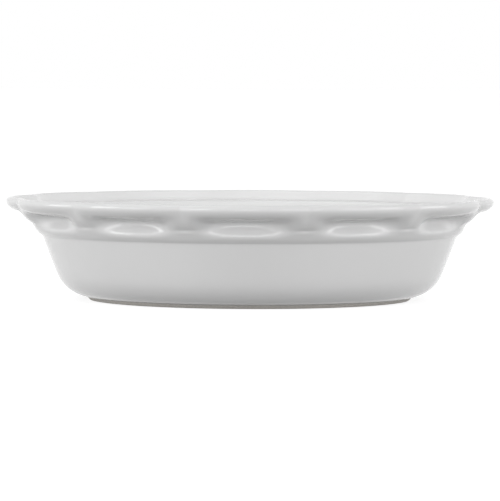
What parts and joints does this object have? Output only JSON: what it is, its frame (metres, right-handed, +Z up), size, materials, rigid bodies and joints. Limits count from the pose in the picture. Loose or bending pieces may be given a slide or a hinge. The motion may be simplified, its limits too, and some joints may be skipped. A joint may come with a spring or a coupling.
{
  "type": "pie dish",
  "caption": "Round glazed stoneware pie dish with sloping sides, a petalled rim that flares out over a skirt, and a low bare foot ring",
  "frame": {"origin": "centre of the foot ring's flat underside, on the table", "axes": "+Z up, along the dish's axis; +X through the middle of one petal of the rim; +Y through another"},
  "size_m": [0.267, 0.267, 0.0555],
  "materials": {
    "fired_clay": "bare fired stoneware, fine and matt",
    "inside_glaze": "white glossy food-safe glaze",
    "outside_glaze": "white glossy glaze"
  },
  "bodies": {
    "root": {"stoneware_body": "fired_clay", "inside_glaze": "inside_glaze", "outside_glaze": "outside_glaze", "underside_glaze": "outside_glaze"}
  },
  "joints": []
}
